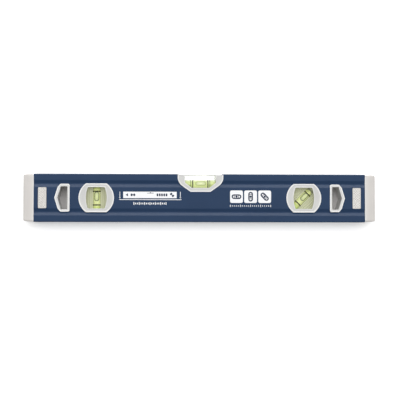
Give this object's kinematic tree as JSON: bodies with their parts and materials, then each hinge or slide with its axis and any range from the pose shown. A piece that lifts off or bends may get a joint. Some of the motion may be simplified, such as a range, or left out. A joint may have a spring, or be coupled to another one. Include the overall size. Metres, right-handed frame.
{
  "type": "spirit level",
  "caption": "box-section spirit level with a centre vial, a plumb vial, a 45 degree vial, D-shaped hand holes, grip pads and end caps",
  "frame": {"origin": "middle of the back face that the level lies on", "axes": "+X along the length towards the 45 degree vial, +Y towards the measuring edge with the centre vial, +Z out of the front face"},
  "size_m": [0.4, 0.0546, 0.0254],
  "materials": {
    "blue_paint": "satin blue powder coat on aluminium",
    "light_plastic": "satin light grey",
    "grip_rubber": "matt, dimpled",
    "olive_plastic": "satin, finely ribbed",
    "white_plastic": "satin",
    "clear_acrylic": "polished clear",
    "vial_liquid": "yellow-green liquid",
    "vial_bubble": "air bubble",
    "marker_black": "black ring"
  },
  "bodies": {
    "level": {"profile": "blue_paint", "left_end_cap": "light_plastic", "right_end_cap": "light_plastic", "left_front_grip_pad": "grip_rubber", "left_back_grip_pad": "grip_rubber", "right_front_grip_pad": "grip_rubber", "right_back_grip_pad": "grip_rubber", "left_front_hand_hole_trim": "light_plastic", "left_back_hand_hole_trim": "light_plastic", "right_front_hand_hole_trim": "light_plastic", "right_back_hand_hole_trim": "light_plastic", "plumb_vial_front_bezel": "light_plastic", "plumb_vial_back_bezel": "light_plastic", "plumb_vial_carrier": "olive_plastic", "plumb_vial_tube": "clear_acrylic", "plumb_vial_plug": "white_plastic", "plumb_vial_liquid": "vial_liquid", "plumb_vial_upper_ring": "marker_black", "plumb_vial_lower_ring": "marker_black", "diagonal_vial_front_bezel": "light_plastic", "diagonal_vial_back_bezel": "light_plastic", "diagonal_vial_carrier": "olive_plastic", "diagonal_vial_tube": "clear_acrylic", "diagonal_vial_plug": "white_plastic", "diagonal_vial_liquid": "vial_liquid", "diagonal_vial_upper_ring": "marker_black", "diagonal_vial_lower_ring": "marker_black", "centre_vial_front_bezel": "light_plastic", "centre_vial_back_bezel": "light_plastic", "centre_vial_cradle": "white_plastic", "centre_vial_block": "clear_acrylic", "centre_vial_plug": "white_plastic", "centre_vial_liquid": "vial_liquid", "centre_vial_left_ring": "marker_black", "centre_vial_right_ring": "marker_black"},
    "plumb_bubble": {"plumb_vial_bubble": "vial_bubble"},
    "diagonal_bubble": {"diagonal_vial_bubble": "vial_bubble"},
    "centre_bubble": {"centre_vial_bubble": "vial_bubble"}
  },
  "joints": [
    {"name": "plumb_bubble_slide", "type": "slide", "parent": "level", "child": "plumb_bubble", "axis": [0, 1, 0], "range_m": [-0.0076, 0.0029]},
    {"name": "diagonal_bubble_slide", "type": "slide", "parent": "level", "child": "diagonal_bubble", "axis": [0.7071, 0.7071, 0], "range_m": [-0.0084, 0.0021]},
    {"name": "centre_bubble_slide", "type": "slide", "parent": "level", "child": "centre_bubble", "axis": [1, 0, 0], "range_m": [-0.0116, 0.0106]}
  ]
}
